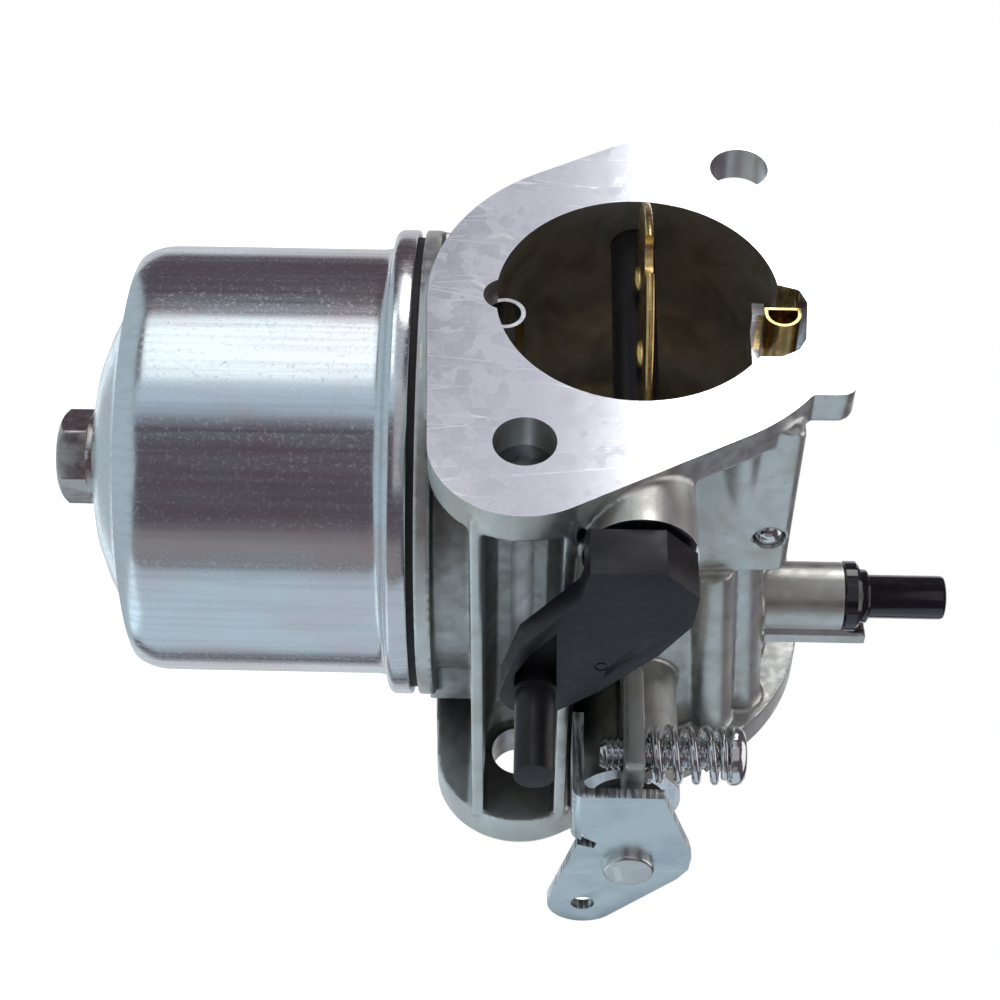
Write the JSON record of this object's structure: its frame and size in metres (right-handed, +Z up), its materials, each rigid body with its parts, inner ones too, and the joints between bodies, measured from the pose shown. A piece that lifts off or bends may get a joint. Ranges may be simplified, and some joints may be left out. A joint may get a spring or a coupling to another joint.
{
  "type": "carburetor",
  "caption": "Float-bowl carburetor with a flanged cast body, drawn steel bowl, choke and throttle levers and an idle speed screw with its spring.",
  "frame": {"origin": "centre of the choke bore on the face of the intake flange", "axes": "+X along both shafts to the lever side, +Y along the air flow to the engine, +Z up, away from the float bowl"},
  "size_m": [0.0818, 0.0721, 0.1087],
  "materials": {
    "cast_alloy": "as cast, satin, with machined flange faces",
    "bowl_plate": "bright blue-passivated zinc plate",
    "gasket_rubber": "matte",
    "bolt_steel": "plain bright steel",
    "fibre": "matte",
    "float_plastic": "matte",
    "pin_steel": "ground",
    "brass": "machined, slightly tarnished",
    "needle_rubber": "matte",
    "lever_plate": "pale blue zinc plate",
    "black_nylon": "moulded, semi-matte",
    "black_gloss": "glossy",
    "spring_steel": "bright nickel",
    "foam": "felt"
  },
  "bodies": {
    "body": {"carburetor_body": "cast_alloy", "float_bowl": "bowl_plate", "bowl_gasket": "gasket_rubber", "bowl_bolt": "bolt_steel", "bowl_bolt_washer": "fibre", "float_hinge_pin": "pin_steel", "inlet_seat": "brass", "main_nozzle": "brass", "main_jet": "brass", "pilot_jet": "brass", "throttle_shaft_bushing": "black_nylon", "throttle_shaft_seal": "foam", "throttle_end_plug": "pin_steel", "transition_plug": "pin_steel", "choke_shaft_seal": "foam", "fuel_inlet_fitting": "black_gloss", "bowl_vent_tube": "brass", "air_bleed_sleeve": "spring_steel", "passage_plugs": "pin_steel"},
    "throttle": {"throttle_shaft": "pin_steel", "throttle_plate": "brass", "throttle_plate_screws": "pin_steel", "throttle_lever": "lever_plate"},
    "choke": {"choke_lever": "black_nylon", "choke_plate": "brass"},
    "float": {"float": "float_plastic"},
    "needle": {"inlet_needle": "needle_rubber", "needle_clip": "pin_steel"},
    "idle_spring": {"idle_speed_spring": "spring_steel"},
    "idle_screw": {"idle_speed_screw": "spring_steel"}
  },
  "joints": [
    {"name": "throttle_turn", "type": "hinge", "parent": "body", "child": "throttle", "pos_m": [0, 0.0475, 0.0004], "axis": [1, 0, 0], "range_deg": [0, 72]},
    {"name": "choke_turn", "type": "hinge", "parent": "body", "child": "choke", "pos_m": [0, 0.007, 0], "axis": [1, 0, 0], "range_deg": [-75, 0]},
    {"name": "float_pivot", "type": "hinge", "parent": "body", "child": "float", "pos_m": [0, 0.048, -0.028], "axis": [1, 0, 0], "range_deg": [0, 8]},
    {"name": "needle_slide", "type": "slide", "parent": "body", "child": "needle", "axis": [0, 0, -1], "range_m": [0, 0.000755]},
    {"name": "idle_screw_turn", "type": "hinge", "parent": "idle_spring", "child": "idle_screw", "pos_m": [0.038, 0.035, 0], "axis": [0, 0, -1], "range_deg": [0, 720]},
    {"name": "idle_screw_advance", "type": "slide", "parent": "body", "child": "idle_spring", "axis": [0, 0, -1], "range_m": [0, 0.0014], "deforming": ["idle_speed_spring"]}
  ],
  "couplings": [
    {"joint": "needle_slide", "follows": "float_pivot", "m_per_rad": 0.0054},
    {"joint": "idle_screw_turn", "follows": "idle_screw_advance", "rad_per_m": 8976}
  ]
}
